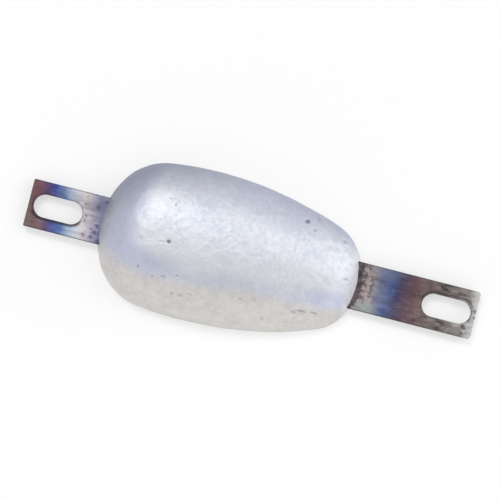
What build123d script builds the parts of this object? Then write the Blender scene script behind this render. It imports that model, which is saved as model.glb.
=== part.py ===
"""Pear-shaped sacrificial hull anode.

A flat steel bar runs through a zinc body that is cast round it, and each end of
the bar has a slot for a hull stud.  Millimetres, +Z away from the hull, +X along
the bar toward the narrow end of the body.  The origin lies on the flat back face
of the zinc, midway between the two slots.
"""
import os

from build123d import *

# Fixing bar: flat mild steel, cropped square at both ends
STRAP_LENGTH = 238.0
STRAP_WIDTH = 25.0
STRAP_THICKNESS = 3.0
STRAP_EDGE_RADIUS = 0.4      # rolled long edges of the flat bar
STRAP_UNDERSIDE = 2.0        # zinc left between the bar and the back face

# Stud slots
SLOT_WIDTH = 12.0
SLOT_LENGTH = 26.0
SLOT_SPACING = 207.0         # centre to centre

# Cast body: an egg about the bar's line, flattened, then cut off flat behind.
# The egg's outline is drawn in tangent arcs, each a radius and a turn in degrees,
# from the broad end over one side.  A last arc closes it square to the axis.
EGG_BROAD_END = -82.0
EGG_ARCS = (45.0, 36.0), (31.0, 47.0), (200.0, 27.0), (24.0, 32.0)
BACK_CUT_RISE = 6.0          # the cut lies this far above the egg's axis, for draft
BODY_HEIGHT = 28.0
BACK_EDGE_BREAK = 0.8


def egg_outline():
    """One side of the egg, from its broad end to its narrow end."""
    arcs = []
    start, heading = Vector(EGG_BROAD_END, 0), Vector(0, 1)
    for radius, turn in EGG_ARCS:
        arcs.append(JernArc(start, heading, radius, -turn))
        start, heading = arcs[-1] @ 1, arcs[-1] % 1
    last_turn = 180 - sum(turn for _, turn in EGG_ARCS)
    last_radius = start.Y / heading.X
    arcs.append(JernArc(start, heading, last_radius, -last_turn))
    return Curve() + arcs


def anode_body():
    """The zinc casting, with the channel that the bar fills."""
    outline = egg_outline()
    profile = make_face(outline + Line(outline @ 1, outline @ 0))
    egg = revolve(profile, Axis.X)
    flatten = BODY_HEIGHT / (profile.bounding_box().max.Y - BACK_CUT_RISE)
    flat_egg = Pos(0, 0, -BACK_CUT_RISE * flatten) * scale(egg, by=(1, 1, flatten))
    dome = split(flat_egg, Plane.XY, keep=Keep.TOP)
    back_edges = dome.faces().sort_by(Axis.Z)[0].edges()
    return chamfer(back_edges, BACK_EDGE_BREAK) - fixing_bar()


def fixing_bar():
    """The flat bar before its slots are punched."""
    middle = STRAP_UNDERSIDE + STRAP_THICKNESS / 2
    bar = Pos(0, 0, middle) * Box(STRAP_LENGTH, STRAP_WIDTH, STRAP_THICKNESS)
    return fillet(bar.edges().filter_by(Axis.X), STRAP_EDGE_RADIUS)


def fixing_strap():
    """The bar with a stud slot near each end."""
    slot = SlotOverall(SLOT_LENGTH, SLOT_WIDTH)
    slots = [Pos(side * SLOT_SPACING / 2, 0) * slot for side in (-1, 1)]
    return fixing_bar() - extrude(Sketch() + slots, STRAP_UNDERSIDE + 2 * STRAP_THICKNESS)


os.makedirs("parts", exist_ok=True)
for piece in (anode_body, fixing_strap):
    solid = piece()
    export_step(solid, f"parts/{piece.__name__}.step")
    box = solid.bounding_box()
    print(f"{piece.__name__}: {solid.volume / 1000:.2f} cm3, "
          f"x {box.min.X:.2f} to {box.max.X:.2f}, y {box.min.Y:.2f} to {box.max.Y:.2f}, "
          f"z {box.min.Z:.2f} to {box.max.Z:.2f}")
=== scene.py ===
"""Looks of a pear-shaped hull anode: cast zinc poured round a heat-tinted steel bar."""
import math

import bmesh
import bpy
from mathutils import Matrix, Vector


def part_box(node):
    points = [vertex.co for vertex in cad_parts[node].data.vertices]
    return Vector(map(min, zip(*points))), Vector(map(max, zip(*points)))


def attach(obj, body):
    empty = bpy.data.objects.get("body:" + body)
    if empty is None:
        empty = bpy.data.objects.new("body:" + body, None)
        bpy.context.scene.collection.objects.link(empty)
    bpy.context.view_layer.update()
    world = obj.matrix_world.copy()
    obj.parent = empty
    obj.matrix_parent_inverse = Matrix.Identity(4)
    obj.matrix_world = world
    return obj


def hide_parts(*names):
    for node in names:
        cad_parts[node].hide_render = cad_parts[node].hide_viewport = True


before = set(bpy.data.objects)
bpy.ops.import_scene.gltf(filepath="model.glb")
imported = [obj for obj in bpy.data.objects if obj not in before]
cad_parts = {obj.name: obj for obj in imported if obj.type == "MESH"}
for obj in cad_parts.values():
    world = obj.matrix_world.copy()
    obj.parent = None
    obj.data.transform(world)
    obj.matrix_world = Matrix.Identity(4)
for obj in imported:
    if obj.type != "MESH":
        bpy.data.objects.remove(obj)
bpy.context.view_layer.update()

# ---------------------------------------------------------------------------
# Anode body.  One zinc casting, poured round the bar in an open mould: an egg
# about the bar's line, flattened, with the pour surface as its flat back.
# The skin is satin and slightly uneven, and its front flank is duller and pitted.
# ---------------------------------------------------------------------------
EGG_BROAD_END = -0.0820
EGG_ARCS = (0.045, 36), (0.031, 47), (0.200, 27), (0.024, 32)   # radius, turn in degrees
BACK_CUT_RISE = 0.006
OUTLINE_STEP = 0.0005
END_REACH = 0.0001          # the template runs on past both ends, so that its tips close at the cut
body_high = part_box("anode_body")[1]
bar_low, bar_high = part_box("fixing_strap")


def egg_outline():
    """Points on one side of the egg, in tangent arcs, as far as the back cuts it at both ends."""
    x, y, heading = EGG_BROAD_END, 0.0, math.pi / 2
    arcs = [(radius, math.radians(turn)) for radius, turn in EGG_ARCS]
    last_turn = math.pi - sum(turn for _, turn in arcs)
    points = []
    for radius, turn in arcs + [(None, last_turn)]:
        if radius is None:
            radius = y / math.cos(heading)
        steps = math.ceil(radius * turn / OUTLINE_STEP)
        for step in range(steps):
            angle = heading - turn * step / steps
            points.append((x + radius * (math.sin(heading) - math.sin(angle)),
                           y + radius * (math.cos(angle) - math.cos(heading))))
        x += radius * (math.sin(heading) - math.sin(heading - turn))
        y += radius * (math.cos(heading - turn) - math.cos(heading))
        heading -= turn
    kept = [point for point in points if point[1] > BACK_CUT_RISE]
    first_x, last_x = kept[0][0] - END_REACH, kept[-1][0] + END_REACH
    return [(first_x, BACK_CUT_RISE), *kept, (last_x, BACK_CUT_RISE)]


class Measure:
    """One output of a node tree, on which plain arithmetic adds the Math nodes."""

    def __init__(self, tree, socket=None):
        self.tree = tree
        self.socket = socket

    def node(self, kind, settings={}, sockets={}, output=0):
        """Adds a node, sets it up, fills its sockets with values or links, and gives one output."""
        node = self.tree.nodes.new(kind)
        for name, value in settings.items():
            if name == "stops":
                ramp = node.color_ramp.elements
                while len(ramp) < len(value):
                    ramp.new(1.0)
                for stop, (place, colour) in zip(ramp, value):
                    stop.position = place
                    stop.color = colour
            else:
                setattr(node, name, value)
        for name, value in sockets.items():
            if isinstance(value, Measure):
                self.tree.links.new(value.socket, node.inputs[name])
            else:
                node.inputs[name].default_value = value
        return Measure(self.tree, node.outputs[output] if node.outputs else None)

    def maths(self, operation, *values):
        """Adds a Math node of the given kind."""
        return self.node("ShaderNodeMath", {"operation": operation}, dict(enumerate(values)))

    def __add__(self, other):
        return self.maths("ADD", self, other)

    def __sub__(self, other):
        return self.maths("SUBTRACT", self, other)

    def __rsub__(self, other):
        return self.maths("SUBTRACT", other, self)

    def __mul__(self, other):
        return self.maths("MULTIPLY", self, other)

    def __truediv__(self, other):
        return self.maths("DIVIDE", self, other)

    def __rtruediv__(self, other):
        return self.maths("DIVIDE", other, self)

    def __pow__(self, other):
        return self.maths("POWER", self, other)

    def __rpow__(self, other):
        return self.maths("POWER", other, self)

    __radd__ = __add__
    __rmul__ = __mul__

    def within(self, low, high, easing="SMOOTHSTEP"):
        """How far the value has come from low to high, eased and held between 0 and 1."""
        return self.node("ShaderNodeMapRange", {"interpolation_type": easing}, {
            "Value": self, "From Min": low, "From Max": high, "To Min": 0.0, "To Max": 1.0})

    def share(self, low, high):
        """The same without the easing."""
        return self.within(low, high, "LINEAR")

    def highest(self, other):
        return self.maths("MAXIMUM", self, other)

    def unsigned(self):
        return self.maths("ABSOLUTE", self)

    def towards(self, x, y, z):
        """How far a direction points along the given one."""
        return self.node("ShaderNodeVectorMath", {"operation": "DOT_PRODUCT"},
                         {0: self, 1: (x, y, z)}, output="Value")

    def axes(self):
        """The three parts of a vector."""
        parts = self.node("ShaderNodeSeparateXYZ", {}, {"Vector": self}).socket.node
        return [Measure(self.tree, parts.outputs[axis]) for axis in range(3)]

    def grain(self, size, detail=2.0, roughness=0.5, stretch=(1, 1, 1), seed=0.0):
        """Noise about half, with patches about the given size in metres."""
        placed = self.node("ShaderNodeVectorMath", {"operation": "MULTIPLY"}, {0: self, 1: stretch})
        return self.node("ShaderNodeTexNoise", {"noise_dimensions": "4D"}, {
            "Vector": placed, "W": seed, "Scale": 0.5 / size, "Detail": detail,
            "Roughness": roughness})

    def tinted(self, colour, other):
        """Mixes two colours, this value being the share of the second."""
        factor, first, second, result = 0, 6, 7, 2      # the node has other sockets of these names
        return self.node("ShaderNodeMix", {"data_type": "RGBA"},
                         {factor: self, first: colour, second: other}, output=result)


def paint(red, green, blue):
    """A colour from a paint chart's numbers of 0 to 255."""
    chart = [value / 255 for value in (red, green, blue)]
    return (*[v / 12.92 if v < 0.04 else ((v + 0.055) / 1.055) ** 2.4 for v in chart], 1.0)


BRIGHT_ZINC = paint(229, 231, 235)
END_FACE_HIGHLIGHT_ZINC = paint(250, 250, 252)
BLUISH_ZINC = paint(205, 209, 222)
LILAC_SHADE_ZINC = paint(191, 196, 220)
VIOLET_SHADE_ZINC = paint(151, 156, 181)
DULL_WARM_LIGHT_ZINC = paint(221, 218, 214)
PINKISH_ZINC = paint(221, 215, 214)
BLUE_GREY_SHADE_ZINC = paint(150, 154, 171)
PIT_DARK = paint(112, 114, 130)
# The dull flank's border: its place in front of the bar's line, and how far it moves at both ends
BORDER_FROM_BAR = 0.0175
BORDER_OUT_AT_BROAD_END = 0.0035
BORDER_IN_AT_NARROW_END = 0.0040
BORDER_ROUND_BROAD_END = (-0.045, 0.030)    # where it starts to turn, and its radius
# The bright spot on the broad end's top is a painted highlight
HIGHLIGHT_SPOT = (-0.051, 0.018)                     # the bright spot on the broad end's top
FINE_GRAIN_HEIGHT = 0.00006
CRUMPLE_HEIGHT = 0.00068
PINHOLE_DEPTH = 0.00035
PINHOLES_PER_METRE = 150.0
RIM_RAGGEDNESS = 1.6                        # of a pit, in shares of its half length and half width
# Gas pits in the skin: place along and across the bar, half length, half width, depth of shade
PITS = (
    (-0.0425, -0.0021, 0.0010, 0.0008, 0.95),
    (-0.0457, -0.0030, 0.0022, 0.0005, 0.35),
    (-0.0437, 0.0168, 0.0007, 0.0006, 0.35),
    (-0.0471, 0.0194, 0.0008, 0.0006, 0.25),
    (-0.0567, -0.0037, 0.0008, 0.0008, 0.2),
    (-0.0547, -0.0178, 0.0006, 0.0009, 0.4),
    (-0.0466, -0.0209, 0.0009, 0.0005, 0.35),
    (-0.0412, -0.0196, 0.0010, 0.0006, 0.4),
    (-0.0344, -0.0176, 0.0011, 0.0009, 0.5),
    (0.0229, 0.0258, 0.0012, 0.0011, 0.95),
    (0.0274, 0.0221, 0.0009, 0.0008, 0.45),
    (0.0283, 0.0284, 0.0009, 0.0009, 0.3),
    (0.0230, 0.0161, 0.0008, 0.0007, 0.3),
    (0.0440, 0.0205, 0.0013, 0.0009, 0.35),
    (0.0493, 0.0015, 0.0016, 0.0006, 0.35),
    (0.0270, -0.0210, 0.0012, 0.0006, 0.4),
    (0.0305, -0.0196, 0.0026, 0.0006, 0.5),
    (0.0372, -0.0190, 0.0018, 0.0006, 0.45),
    (0.0061, -0.0199, 0.0010, 0.0007, 0.25),
    (0.0120, -0.0283, 0.0009, 0.0008, 0.25),
    (-0.0352, -0.0271, 0.0008, 0.0007, 0.35),
    (-0.0306, -0.0270, 0.0013, 0.0006, 0.3),
    (-0.0257, -0.0252, 0.0009, 0.0006, 0.25),
    (-0.0010, -0.0211, 0.0012, 0.0006, 0.3),
)

zinc = bpy.data.materials.new("satin_cast_zinc")
zinc.use_nodes = True
zinc.node_tree.nodes.clear()
skin = Measure(zinc.node_tree)
place = skin.node("ShaderNodeTexCoord", output="Object")
facing = skin.node("ShaderNodeTexCoord", output="Normal")
along, across, up = place.axes()
facing_x, _, facing_z = facing.axes()

# The front flank and the broad end are duller, below a soft uneven border, and so is the back
border = place.grain(0.012, 3.0) - 0.5
speckle = place.grain(0.0011, 3.0, 0.6, seed=31.0) - 0.5
border_line = BORDER_FROM_BAR + (0 - along).within(0.0, 0.050) * BORDER_OUT_AT_BROAD_END
border_line = border_line - along.within(0.020, 0.055) * BORDER_IN_AT_NARROW_END
side_reach = (0 - across).highest(0.0) / border_line
turn_start, turn_radius = BORDER_ROUND_BROAD_END
end_reach = (turn_start - along).highest(0.0) / turn_radius
dull_reach = (end_reach * end_reach + side_reach * side_reach) ** 0.5
dull_edge = dull_reach + border * 0.55 + speckle * 0.20
dull = dull_edge.within(0.70, 1.32) * 0.50 + dull_edge.within(0.86, 1.14) * 0.50
poured_face = (0 - facing_z).within(0.5, 0.9)
dull = dull.highest(poured_face)

# A painted highlight, silvery, in front of the bar's line and on the crest, with bluer clouds and a
# fine mottle
cloud = place.grain(0.016, 3.0, seed=3.0).within(0.35, 0.65)
mottle = place.grain(0.0012, 4.0, 0.65, seed=5.0).within(0.30, 0.70)
broad_end = 1 - along.within(-0.050, -0.025)
narrow_end = along.within(0.030, 0.050)
silvery_highlight = (1 - (across + border * 0.012).within(-0.004, 0.010)) * (1 - dull_edge.within(0.40, 0.95))
from_highlight_spot = ((along - HIGHLIGHT_SPOT[0]) ** 2.0 + (across - HIGHLIGHT_SPOT[1]) ** 2.0) ** 0.5
silvery_highlight = silvery_highlight.highest(1 - from_highlight_spot.within(0.002, 0.011))
bluish = (cloud * 0.30 + mottle * 0.72) * (1 - silvery_highlight * (0.60 - narrow_end * 0.30))
bright_skin = bluish.tinted(BRIGHT_ZINC, BLUISH_ZINC)

# Painted shade in lilac behind the bar and in a strip along the dull border, and a painted
# highlight on the narrow end's face
behind = (across + border * 0.012).within(0.014, 0.032) * (1 - broad_end * 0.6)
bright_skin = (behind * 0.35).tinted(bright_skin, LILAC_SHADE_ZINC)
lilac_shade = (dull_edge - border * 0.15).within(0.50, 0.98) * 0.34
lilac_shade = lilac_shade.highest(dull_reach.within(0.30, 0.72) * broad_end * 0.66)
narrow_half = along.within(0.018, 0.040) * (1 - along.within(0.050, 0.055) * 0.8)
lilac_shade = lilac_shade.highest((side_reach + border * 0.3).within(0.26, 0.66) * narrow_half * 0.60)
bright_skin = lilac_shade.tinted(bright_skin, LILAC_SHADE_ZINC)
# Painted highlight on the narrow end's face, where it faces along the bar
bright_skin = (facing_x.within(0.64, 0.94) * 0.9).tinted(bright_skin, END_FACE_HIGHLIGHT_ZINC)

# The dull zinc's warmer colour is painted warm light, with pinkish clouds and faint smudges
flush = place.grain(0.010, 2.0, seed=8.0).within(0.45, 0.65)
dull_skin = (flush * 0.6).tinted(DULL_WARM_LIGHT_ZINC, PINKISH_ZINC)
smudge = place.grain(0.0032, 3.0, 0.6, seed=41.0).within(0.35, 0.65)
dull_skin = (mottle * 0.12 + smudge * 0.08).tinted(dull_skin, PIT_DARK)
colour = dull.tinted(bright_skin, dull_skin)

# Painted shade, blue-grey, on the flank behind the bar, set by the way the skin faces and heaviest
# round the broad end's shoulder
broad_side = facing.towards(-0.65, 0.76, -0.05)
narrow_side = facing.towards(0.45, 0.89, 0.0)
painted_shade = (broad_side + border * 0.16).within(0.32, 0.88) * (0.80 - along * 5.0).share(0.0, 1.0)
colour = (painted_shade * 0.91).tinted(colour, BLUE_GREY_SHADE_ZINC)
# Painted shade, violet, on the narrow end's flank behind the bar
painted_shade = (narrow_side + border * 0.16).within(0.52, 0.95) * along.within(-0.030, 0.020)
colour = (painted_shade * 0.38).tinted(colour, VIOLET_SHADE_ZINC)


def in_a_pit(where):
    """How far a spot lies in one of the pits, which have ragged rims and stop short of the back."""
    ragged = where.grain(0.0010, 2.0, seed=19.0) - 0.5
    where_x, where_y, where_z = where.axes()
    deepest = None
    for pit_x, pit_y, half_length, half_width, shade in PITS:
        from_x = (where_x - pit_x) / half_length + ragged * RIM_RAGGEDNESS
        from_y = (where_y - pit_y) / half_width - ragged * RIM_RAGGEDNESS
        share = (1 - ((from_x * from_x + from_y * from_y) ** 0.5).within(0.45, 1.5)) * shade
        deepest = share if deepest is None else deepest.highest(share)
    return deepest * where_z.within(0.003, 0.006)


# The pits and a scatter of pinholes, most of them in the dull zinc, darkened with painted shade in
# their hollows, and a darker band along the foot
hollow = in_a_pit(place)
cell = skin.node("ShaderNodeTexVoronoi", {}, {
    "Vector": place, "Scale": PINHOLES_PER_METRE, "Randomness": 1.0})
patchy = place.grain(0.009, 2.0, seed=11.0).within(0.48, 0.66)
hollow = hollow.highest((1 - cell.within(0.03, 0.10)) * patchy * (0.16 + dull * 0.29))
foot = 1 - (up + border * 0.003).within(0.0004, 0.0030)
colour = (foot * 0.30).highest(hollow * 0.75).tinted(colour, PIT_DARK)

fine = place.grain(0.0007, 3.0, 0.6, seed=13.0)
crumple = place.grain(0.0022, 4.0, 0.62, seed=17.0)
relief = fine * FINE_GRAIN_HEIGHT + crumple * CRUMPLE_HEIGHT - hollow * PINHOLE_DEPTH
bump = skin.node("ShaderNodeBump", {}, {"Strength": 1.0, "Distance": 1.0, "Height": relief})
zinc_skin = skin.node("ShaderNodeBsdfPrincipled", {}, {
    "Base Color": colour,
    "Metallic": 0.90 - dull * 0.15,
    "Roughness": 0.55 + dull * 0.08 + mottle * 0.05 + hollow * 0.2,
    "Normal": bump})
skin.node("ShaderNodeOutputMaterial", {}, {"Surface": zinc_skin})

template = [(x, y, 0.0) for x, y in egg_outline()]
template_mesh = bpy.data.meshes.new("egg_template")
template_mesh.from_pydata(template, [(i, i + 1) for i in range(len(template) - 1)], [])
body = bpy.data.objects.new("cast_zinc_body", template_mesh)
bpy.context.scene.collection.objects.link(body)

egg_height = max(y for _, y, _ in template) - BACK_CUT_RISE
CASTING = (
    ("Flattening", "NodeSocketFloat", body_high.z / egg_height),
    ("Back Cut Rise", "NodeSocketFloat", BACK_CUT_RISE),
    ("Back Edge Radius", "NodeSocketFloat", 0.0010),
    ("Sections", "NodeSocketInt", 281),
    ("Points Round", "NodeSocketInt", 245),
    ("Unevenness", "NodeSocketFloat", 0.00030),
    ("Lumps", "NodeSocketFloat", 0.00018),
    ("Pour Sink", "NodeSocketFloat", 0.0006),
    ("Pit Depth", "NodeSocketFloat", 0.0005),
    ("Channel Size", "NodeSocketVector", (0.200, 0.0251, 0.0031)),
    ("Channel Place", "NodeSocketVector", (0.0, 0.0, 0.0035)),
    ("Shrink Gap Size", "NodeSocketVector", (0.010, 0.0262, 0.0040)),
    ("Shrink Gap Place", "NodeSocketVector", (0.0595, -0.0002, 0.0038)),
    ("Seed", "NodeSocketFloat", 4.0),
)
casting = bpy.data.node_groups.new("casting", "GeometryNodeTree")
casting.interface.new_socket("Casting", in_out="OUTPUT", socket_type="NodeSocketGeometry")
casting.interface.new_socket("Template", in_out="INPUT", socket_type="NodeSocketGeometry")
for name, kind, _ in CASTING:
    casting.interface.new_socket(name, in_out="INPUT", socket_type=kind)
group_input = casting.nodes.new("NodeGroupInput")
given = {socket.name: Measure(casting, socket) for socket in group_input.outputs}
bench = Measure(casting)

# A grid of sections by points round is bent into a rounded D at each place on the template
grid = bench.node("GeometryNodeMeshGrid", {}, {
    "Size X": 1.0, "Size Y": 1.0,
    "Vertices X": given["Sections"], "Vertices Y": given["Points Round"]})
grid_x, grid_y, _ = bench.node("GeometryNodeInputPosition").axes()
side = grid_y.maths("SIGN", grid_y)
climb = 1 - grid_y.unsigned() * 2
curve = bench.node("GeometryNodeMeshToCurve", {}, {"Mesh": given["Template"]})
drawn = bench.node("GeometryNodeSampleCurve", {"use_all_curves": True},
                   {"Curves": curve, "Factor": grid_x + 0.5}, output="Position")
drawn_x, radius, _ = drawn.axes()

TIP_MERGE = 2e-6
BACK_SHARE, EDGE_SHARE = 0.22, 0.05     # of the points round: on the flat back, and on its edge
rise = given["Back Cut Rise"]
edge = rise.maths("MINIMUM", given["Back Edge Radius"], (radius - rise) * 0.5)
back = climb.share(0.0, BACK_SHARE)
turn = climb.share(BACK_SHARE, BACK_SHARE + EDGE_SHARE)
sweep = climb.share(BACK_SHARE + EDGE_SHARE, 1.0)
first_angle = climb.maths("ARCSINE", ((rise + edge) / (radius - edge)).share(0.0, 1.0))
edge_angle = (first_angle + math.pi / 2) * turn - math.pi / 2
dome_angle = first_angle + (math.pi / 2 - first_angle) * sweep


def reach(angle, turned="COSINE"):
    """How far a unit arm at this angle reaches out, or up where it is turned to the sine."""
    return angle.maths(turned, angle)


flat_half = (radius - edge) * reach(first_angle)
out = (flat_half * back + edge * reach(edge_angle)
       + radius * (reach(dome_angle) - reach(first_angle)))
height = (rise + edge + edge * reach(edge_angle, "SINE")
          + radius * (reach(dome_angle, "SINE") - reach(first_angle, "SINE")))
section = bench.node("ShaderNodeCombineXYZ", {}, {
    0: drawn_x, 1: out * side, 2: (height - rise) * given["Flattening"]})
shell = bench.node("GeometryNodeSetPosition", {}, {"Geometry": grid, "Position": section})
shell = bench.node("GeometryNodeMergeByDistance", {}, {"Geometry": shell, "Distance": TIP_MERGE})

# The skin only sinks: a slow unevenness, small lumps, a shallow sink in the poured back, and pits
POUR_MIDDLE, POUR_HALF_LENGTH, POUR_HALF_WIDTH = -0.014, 0.062, 0.034
spot = bench.node("GeometryNodeInputPosition")
spot_x, spot_y, _ = spot.axes()
facing = bench.node("GeometryNodeInputNormal")
slow = spot.grain(0.018, 1.0, seed=given["Seed"]).within(0.25, 0.75)
small = spot.grain(0.0045, 1.0, seed=given["Seed"] + 7.0).within(0.25, 0.75)
from_middle = (((spot_x - POUR_MIDDLE) / POUR_HALF_LENGTH) ** 2.0
               + (spot_y / POUR_HALF_WIDTH) ** 2.0)
cooled = (0 - facing.axes()[2]).within(0.7, 0.95) * (1 - from_middle.within(0.15, 0.95))
sinking = slow * given["Unevenness"] + small * given["Lumps"] + cooled * given["Pour Sink"]
sinking = sinking + in_a_pit(spot) * given["Pit Depth"]
inward = bench.node("ShaderNodeVectorMath", {"operation": "SCALE"}, {
    "Vector": facing, "Scale": 0 - sinking})
shell = bench.node("GeometryNodeSetPosition", {}, {"Geometry": shell, "Offset": inward})

# The bar's channel, and the gap left at the narrow end where the zinc shrank off the bar
for size, centre in (("Channel Size", "Channel Place"), ("Shrink Gap Size", "Shrink Gap Place")):
    block = bench.node("GeometryNodeMeshCube", {}, {"Size": given[size]})
    block = bench.node("GeometryNodeTransform", {}, {
        "Geometry": block, "Translation": given[centre]})
    shell = bench.node("GeometryNodeMeshBoolean", {"operation": "DIFFERENCE", "solver": "MANIFOLD"},
                       {"Mesh 1": shell, "Mesh 2": block})
shell = bench.node("GeometryNodeSetShadeSmooth", {}, {"Geometry": shell})
shell = bench.node("GeometryNodeRealizeInstances", {}, {"Geometry": shell})
shell = bench.node("GeometryNodeSetMaterial", {}, {"Geometry": shell, "Material": zinc})
bench.node("NodeGroupOutput", {}, {"Casting": shell})

BODY_CREASE = 40        # degrees; only the mouths of the channel are sharp


def weld(mesh, nearness=1e-6):
    """Joins corners that lie on one another, and drops the slivers that this leaves."""
    joiner = bmesh.new()
    joiner.from_mesh(mesh)
    bmesh.ops.remove_doubles(joiner, verts=joiner.verts, dist=nearness)
    bmesh.ops.dissolve_degenerate(joiner, edges=joiner.edges, dist=nearness)
    joiner.to_mesh(mesh)
    joiner.free()


pour = body.modifiers.new("casting", "NODES")
pour.node_group = casting
for item in casting.interface.items_tree:
    for name, _, value in CASTING:
        if item.name == name:
            pour[item.identifier] = value
poured = body.evaluated_get(bpy.context.evaluated_depsgraph_get())
body_mesh = bpy.data.meshes.new_from_object(poured)
body.modifiers.remove(pour)
body.data = body_mesh
weld(body_mesh)
body_mesh.materials.clear()
body_mesh.materials.append(zinc)
body_mesh.polygons.foreach_set("material_index", [0] * len(body_mesh.polygons))
body_mesh.set_sharp_from_angle(angle=math.radians(BODY_CREASE))
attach(body, "root")
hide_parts("anode_body")

# ---------------------------------------------------------------------------
# Fixing bar.  Flat mild steel, cropped square, with a punched stud slot at each
# end; it runs right through the zinc.  The casting heat has tinted it in bands
# of temper colours, and the narrow end's tip is worn bright.
# ---------------------------------------------------------------------------
SLOT_WIDTH = 0.012
SLOT_LENGTH = 0.026
SLOT_SPACING = 0.207
BAR_BREAK = 0.00035
BROAD_END_CORNER = 0.0007
NARROW_END_CORNER = 0.0016
BAR_CREASE = 30         # degrees

bar_length = bar_high.x - bar_low.x
half_bar = bar_length / 2
half_width = bar_high.y
bar_curve = bpy.data.curves.new("bar_profile", "CURVE")
bar_curve.dimensions = "2D"
bar_curve.fill_mode = "BOTH"


def corner(x, y, radius, first_angle, steps=8):
    """Points of a quarter turn about a centre."""
    angles = [math.radians(first_angle + 90 * step / steps) for step in range(steps + 1)]
    return [(x + radius * math.cos(a), y + radius * math.sin(a)) for a in angles]


def closed_profile(points):
    """Adds a closed outline to the bar's flat curve."""
    spline = bar_curve.splines.new("POLY")
    spline.points.add(len(points) - 1)
    for point, (x, y) in zip(spline.points, points):
        point.co = (x, y, 0.0, 1.0)
    spline.use_cyclic_u = True


outer = []
for x_side, y_side, first in ((1, 1, 0), (-1, 1, 90), (-1, -1, 180), (1, -1, 270)):
    radius = NARROW_END_CORNER if x_side > 0 else BROAD_END_CORNER
    outer += corner(x_side * (half_bar - radius), y_side * (half_width - radius), radius, first)
closed_profile(outer)
slot_radius = SLOT_WIDTH / 2
slot_run = SLOT_LENGTH / 2 - slot_radius
for x_side in (-1, 1):
    middle = x_side * SLOT_SPACING / 2
    hole = []
    for end, first in ((1, -90), (1, 0), (-1, 90), (-1, 180)):
        hole += corner(middle + end * slot_run, 0.0, slot_radius, first, 16)
    closed_profile(hole)
bar_curve.extrude = (bar_high.z - bar_low.z) / 2 - BAR_BREAK
bar_curve.bevel_depth = BAR_BREAK
bar_curve.bevel_resolution = 2
bar_curve.offset = -BAR_BREAK
bar = bpy.data.objects.new("steel_fixing_bar", bar_curve)
bpy.context.scene.collection.objects.link(bar)
bar_mesh = bpy.data.meshes.new_from_object(bar.evaluated_get(bpy.context.evaluated_depsgraph_get()))
bpy.data.objects.remove(bar)
bar_mesh.transform(Matrix.Translation((0.0, 0.0, (bar_high.z + bar_low.z) / 2)))
weld(bar_mesh)
bar = bpy.data.objects.new("steel_fixing_bar", bar_mesh)
bpy.context.scene.collection.objects.link(bar)
bar_mesh.shade_smooth()
bar_mesh.set_sharp_from_angle(angle=math.radians(BAR_CREASE))

# Temper colours by their place along the bar, in millimetres from its middle
TEMPER = (
    (-119, paint(120, 106, 102)), (-117.5, paint(116, 94, 94)), (-113.5, paint(130, 97, 106)),
    (-109.5, paint(99, 79, 114)), (-105, paint(74, 92, 165)), (-101, paint(97, 121, 168)),
    (-98, paint(164, 182, 206)), (-93, paint(206, 208, 218)), (-89, paint(206, 201, 202)),
    (-86, paint(186, 178, 192)), (-81, paint(139, 142, 170)), (55, paint(106, 96, 102)),
    (58, paint(122, 110, 114)), (61, paint(160, 149, 151)), (64, paint(150, 147, 156)),
    (67, paint(120, 126, 154)), (72, paint(96, 112, 154)), (77, paint(82, 80, 108)),
    (80, paint(92, 80, 98)), (84, paint(107, 86, 94)), (87, paint(118, 97, 98)),
    (91, paint(126, 110, 108)), (97, paint(118, 108, 103)), (107, paint(132, 124, 119)),
    (113, paint(153, 148, 144)), (117, paint(188, 186, 184)),
)
SCALE_DARK = paint(58, 52, 62)
SCALE_PALE = paint(194, 176, 170)
WORN_SCALE = paint(178, 170, 166)
EDGE_SHADE = paint(48, 42, 48)
SPOT_BLUE = paint(50, 50, 92)
SILVER_GREEN = paint(160, 170, 168)
BARE_STEEL = paint(216, 216, 215)
CREAM_TINT = paint(212, 207, 190)
ZINC_END = 0.0573           # where the bar comes out of the narrow end
ZINC_END_CURVE = 22.0       # how fast the zinc's edge falls back to the bar's sides
ROLLED_HEIGHT = 0.00006
CRUST_HEIGHT = 0.00004
BLOTCH_HEIGHT = 0.00010
# Dark spots of scale near the broad end: place along and across the bar, and radius
SPOTS = (
    (-0.0833, 0.0060, 0.0013),
    (-0.0818, -0.0030, 0.0012),
    (-0.0823, -0.0069, 0.0014),
    (-0.0834, -0.0098, 0.0012),
    (-0.0790, -0.0114, 0.0020),
    (-0.0795, 0.0096, 0.0010),
    (-0.0890, 0.0010, 0.0006),
    (-0.0903, -0.0012, 0.0006),
)

steel = bpy.data.materials.new("heat_tinted_steel")
steel.use_nodes = True
steel.node_tree.nodes.clear()
face = Measure(steel.node_tree)
place = face.node("ShaderNodeTexCoord", output="Object")
along, across, _ = place.axes()
ragged = place.grain(0.0012, 2.0, seed=23.0) - 0.5

# Temper colours in slanting, wavering bands, paler and creamy between the broad slot and the zinc
waver = place.grain(0.006, 3.0, seed=2.0) - 0.5
slant = across * (0.045 - along * 1.15)
band = (along + waver * 0.005 + slant) / bar_length + 0.5
stops = [(0.5 + x / 1000 / bar_length, colour) for x, colour in TEMPER]
tint = face.node("ShaderNodeValToRGB", {"stops": stops}, {"Fac": band})
strong = place.grain(0.005, 2.0, seed=21.0).within(0.35, 0.65)
tint = face.node("ShaderNodeHueSaturation", {}, {
    "Saturation": 1.20 - strong * 0.3, "Value": 1.0, "Color": tint})
cream = place.grain(0.004, 3.0, 0.6, seed=33.0).within(0.45, 0.62) * along.within(-0.101, -0.096)
cream = cream * (1 - along.within(-0.090, -0.084)) * (1 - across.within(0.001, 0.007) * 0.75)
tint = (cream * 0.55).tinted(tint, CREAM_TINT)
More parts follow.
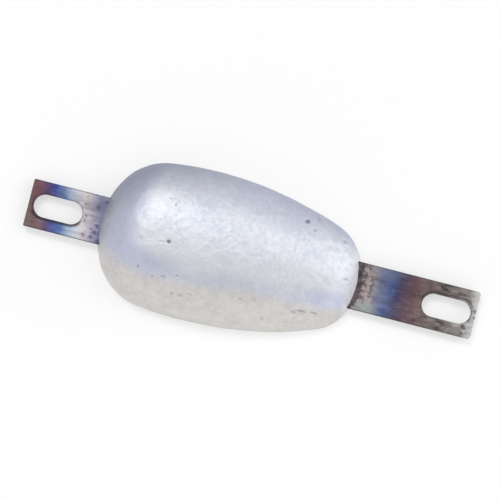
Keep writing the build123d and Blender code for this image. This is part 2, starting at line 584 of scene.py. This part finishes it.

# Scale: rolling lines, blotches past the tints, a crust beside the zinc and a painted shadow along
# its edge
rolled = place.grain(0.0012, 4.0, 0.6, stretch=(0.12, 1, 1), seed=6.0)
blotch = place.grain(0.0011, 3.0, 0.60, stretch=(0.5, 1, 1), seed=27.0)
crust = place.grain(0.0012, 3.0, 0.60, seed=9.0)
beside_zinc = (1 - (along + waver * 0.004).within(0.0615, 0.0670)) * along.within(0.050, 0.056)
off_zinc = along.within(0.0565, 0.0605)
crust_pale = crust.within(0.47, 0.59) * beside_zinc * (0.55 + off_zinc * 0.27)
colour = crust_pale.tinted(tint, SCALE_PALE)
crust_dark = (1 - crust.within(0.38, 0.50)) * beside_zinc * (0.74 - off_zinc * 0.14)
colour = crust_dark.tinted(colour, SCALE_DARK)
off_zinc_edge = along + across * across * ZINC_END_CURVE + ragged * 0.0010
zinc_edge_shadow = (1 - off_zinc_edge.within(ZINC_END, ZINC_END + 0.0021)) * along.within(0.050, 0.052)
colour = (zinc_edge_shadow * 0.66).tinted(colour, SCALE_DARK)
past_tints = 0.25 + along.within(0.080, 0.095) * 0.75
colour = ((1 - blotch.within(0.36, 0.50)) * past_tints * 0.78).tinted(colour, SCALE_DARK)
scaled_tip = 0.20 + along.within(0.088, 0.104) * 0.80
colour = (blotch.within(0.53, 0.65) * scaled_tip * 0.62).tinted(colour, WORN_SCALE)
colour = (rolled.within(0.48, 0.72) * 0.34).tinted(colour, SCALE_DARK)


def spot_of_scale(spot_x, spot_y, spot_radius):
    """How far a place on the bar lies in a ragged spot."""
    off_x = along + ragged * 0.004 - spot_x
    off_y = across - ragged * 0.004 - spot_y
    return 1 - ((off_x * off_x + off_y * off_y) ** 0.5).within(spot_radius * 0.4, spot_radius * 1.3)


spotted = spot_of_scale(*SPOTS[0])
for measures in SPOTS[1:]:
    spotted = spotted.highest(spot_of_scale(*measures))
specks = (1 - place.grain(0.0013, 2.0, seed=51.0).within(0.31, 0.38)) * along.within(-0.096, -0.088)
spotted = spotted.highest(specks * (1 - along.within(-0.080, -0.070)))
colour = (spotted * 0.6).tinted(colour, SPOT_BLUE)
silvered = along.within(0.056, 0.059) * (1 - along.within(0.064, 0.070))
silvered = silvered * (1 - across.within(-0.0095, -0.0060))
colour = (silvered * (0.5 + crust * 0.6)).tinted(colour, SILVER_GREEN)

# Painted shade on the bar's edges and round the rims of the punched slots, darkest in front at the
# broad end's slot
from_slot_x = ((along.unsigned() - SLOT_SPACING / 2).unsigned() - slot_run).highest(0.0)
slot_distance = (from_slot_x * from_slot_x + across * across) ** 0.5 - slot_radius
from_edge = half_width - across.unsigned()
from_tip = half_bar - along
patchy_rub = place.grain(0.003, 4.0, 0.65, seed=12.0).within(0.35, 0.60)
at_narrow_end = along.within(0.0, 0.02)
low_side = 1 - across.within(-0.0055, -0.0015)
heavy = low_side * (1 - at_narrow_end)
edge_shade = (1 - from_edge.within(0.0001, 0.0008)) * (0.55 + patchy_rub * 0.35)
rim_width = 0.0008 + heavy * 0.0015
slot_rim_shade = 1 - ((slot_distance + ragged * 0.0008) / rim_width).within(0.25, 1.0)
slot_rim_shade = slot_rim_shade * (0.62 + at_narrow_end * 0.20 + heavy * 0.38
                         - low_side * at_narrow_end * 0.55)
rim_line = 1 - (slot_distance + ragged * 0.0006 - 0.0012).unsigned().within(0.0001, 0.0005)
rim_line = rim_line * at_narrow_end * across.within(0.0, 0.004) * (0.55 + patchy_rub * 0.40)
dark = edge_shade.highest(slot_rim_shade).highest(rim_line)
colour = (dark * 0.9).tinted(colour, EDGE_SHADE)

# Bright wear on the narrow end's tip, its corners and its slot, less on the edges than on the faces
slot_bright = (1 - slot_distance.within(0.0006, 0.0010)) * along.within(0.102, 0.112) * patchy_rub
from_corner = (from_tip * from_tip + from_edge * from_edge) ** 0.5 + ragged * 0.003
tip_rub = 1 - (from_tip + ragged * 0.004).within(0.0008, 0.0055)
tip_rub = tip_rub * (0.25 + blotch.within(0.42, 0.56) * 0.75)
worn = (slot_bright * 0.45).highest(tip_rub).highest((1 - from_corner.within(0.001, 0.007)) * 0.8)
facing_z = face.node("ShaderNodeTexCoord", output="Normal").axes()[2]
lying = facing_z.unsigned().within(0.3, 0.8)
worn = worn * (0.45 + lying * 0.40)
colour = worn.tinted(colour, BARE_STEEL)

relief = rolled * ROLLED_HEIGHT + crust * CRUST_HEIGHT + blotch * BLOTCH_HEIGHT
bump = face.node("ShaderNodeBump", {}, {"Strength": 1.0, "Distance": 1.0, "Height": relief})
bar_skin = face.node("ShaderNodeBsdfPrincipled", {}, {
    "Base Color": colour, "Metallic": 0.75,
    "Roughness": 0.42 + crust * 0.12 - worn * 0.08 + rolled * 0.1, "Normal": bump})
face.node("ShaderNodeOutputMaterial", {}, {"Surface": bar_skin})
bar_mesh.materials.append(steel)
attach(bar, "root")
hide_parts("fixing_strap")

# ---------------------------------------------------------------------------
# Floor, sky and lamps.  A pale matt floor under large soft lamps, and a sky that
# is pale low down, so that bare metal has something even to mirror.
# ---------------------------------------------------------------------------
FLOOR_HALF = 12.0
FLOOR_WHITE = 0.97
FLOOR_GLOW = 0.5            # share of plain white where the floor is seen or mirrored
SKY_LOW, SKY_HIGH = 0.98, 0.05
floor_corners = [(x * FLOOR_HALF, y * FLOOR_HALF, 0.0)
                 for x, y in ((-1, -1), (1, -1), (1, 1), (-1, 1))]
floor_mesh = bpy.data.meshes.new("floor")
floor_mesh.from_pydata(floor_corners, [], [(0, 1, 2, 3)])
floor = bpy.data.objects.new("floor", floor_mesh)
bpy.context.scene.collection.objects.link(floor)
matt_white = bpy.data.materials.new("matt_white")
matt_white.use_nodes = True
matt_white.node_tree.nodes.clear()
wash = Measure(matt_white.node_tree)
diffuse = wash.node("ShaderNodeBsdfDiffuse", {}, {
    "Color": (FLOOR_WHITE, FLOOR_WHITE, FLOOR_WHITE, 1.0)})
glow = wash.node("ShaderNodeEmission", {}, {"Color": (1.0, 1.0, 1.0, 1.0), "Strength": 1.0})
seen = wash.node("ShaderNodeLightPath", output="Is Camera Ray")
seen = seen.highest(wash.node("ShaderNodeLightPath", output="Is Glossy Ray"))
seen = seen.highest(wash.node("ShaderNodeLightPath", output="Is Transmission Ray"))
paper = wash.node("ShaderNodeMixShader", {}, {0: seen * FLOOR_GLOW, 1: diffuse, 2: glow})
wash.node("ShaderNodeOutputMaterial", {}, {"Surface": paper})
floor_mesh.materials.append(matt_white)

sky = bpy.data.worlds.new("pale_sky")
bpy.context.scene.world = sky
sky.use_nodes = True
sky.node_tree.nodes.clear()
air = Measure(sky.node_tree)
rising = air.node("ShaderNodeTexCoord", output="Generated").axes()[2]
low_down = 1 - rising.within(0.13, 0.26)
light = air.node("ShaderNodeBackground", {}, {
    "Color": (1.0, 1.0, 1.0, 1.0), "Strength": low_down * (SKY_LOW - SKY_HIGH) + SKY_HIGH})
air.node("ShaderNodeOutputWorld", {}, {"Surface": light})

# Lamps so far off that they light the whole floor alike.  Each has its bearing from the
# bar's narrow end, its height and its width as seen from the anode, in degrees, and its strength.
LAMPS = (
    ("past_narrow_end", 28, 28, 45, 1.05),
    ("behind_right", 74, 50, 40, 0.48),
    ("window", 125, 50, 18, 1.02),
    ("past_broad_end", 194, 50, 40, 0.49),
    ("front_left", 239, 20, 50, 0.53),
    ("front", 284, 20, 50, 0.50),
    ("front_right", 329, 30, 45, 0.57),
    ("overhead", 0, 88, 40, 0.29),
)
for name, bearing, height_angle, spread, strength in LAMPS:
    lamp = bpy.data.lights.new(name, "SUN")
    lamp.angle = math.radians(spread)
    lamp.energy = strength
    holder = bpy.data.objects.new(name, lamp)
    swing, lift = math.radians(bearing), math.radians(height_angle)
    direction = Vector((math.cos(lift) * math.cos(swing), math.cos(lift) * math.sin(swing),
                        math.sin(lift)))
    holder.matrix_world = direction.to_track_quat("Z", "Y").to_matrix().to_4x4()
    bpy.context.scene.collection.objects.link(holder)
bpy.context.scene.view_settings.view_transform = "Standard"

# ---------------------------------------------------------------------------
# Camera.  Almost straight down on the anode, turned so that the bar slopes down
# to the right.  The view is square, and places in it are in pixels.
# ---------------------------------------------------------------------------
PICTURE_SIDE = 500
BAR_SLOPE = math.radians(14.34)
BAR_MIDDLE = (252, 259)
BAR_PIXELS = 461.3
LEAN = math.radians(1)
LENS, SENSOR = 100, 36
picture_width = bar_length * PICTURE_SIDE / BAR_PIXELS
distance = picture_width * LENS / SENSOR
pixel = picture_width / PICTURE_SIDE
right = Vector((math.cos(BAR_SLOPE), math.sin(BAR_SLOPE), 0.0))
away = Vector((-math.sin(BAR_SLOPE), math.cos(BAR_SLOPE), 0.0))
backwards = Vector((0.0, 0.0, 1.0)) * math.cos(LEAN) - away * math.sin(LEAN)
upwards = backwards.cross(right)
aim = (Vector((0.0, 0.0, bar_high.z)) - right * (BAR_MIDDLE[0] - PICTURE_SIDE / 2) * pixel
       + upwards * (BAR_MIDDLE[1] - PICTURE_SIDE / 2) * pixel)
camera_data = bpy.data.cameras.new("camera")
camera_data.lens = LENS
camera_data.sensor_width = SENSOR
camera = bpy.data.objects.new("camera", camera_data)
bpy.context.scene.collection.objects.link(camera)
turned = Matrix((right, upwards, backwards)).transposed().to_4x4()
camera.matrix_world = Matrix.Translation(aim + backwards * distance) @ turned
bpy.context.scene.camera = camera
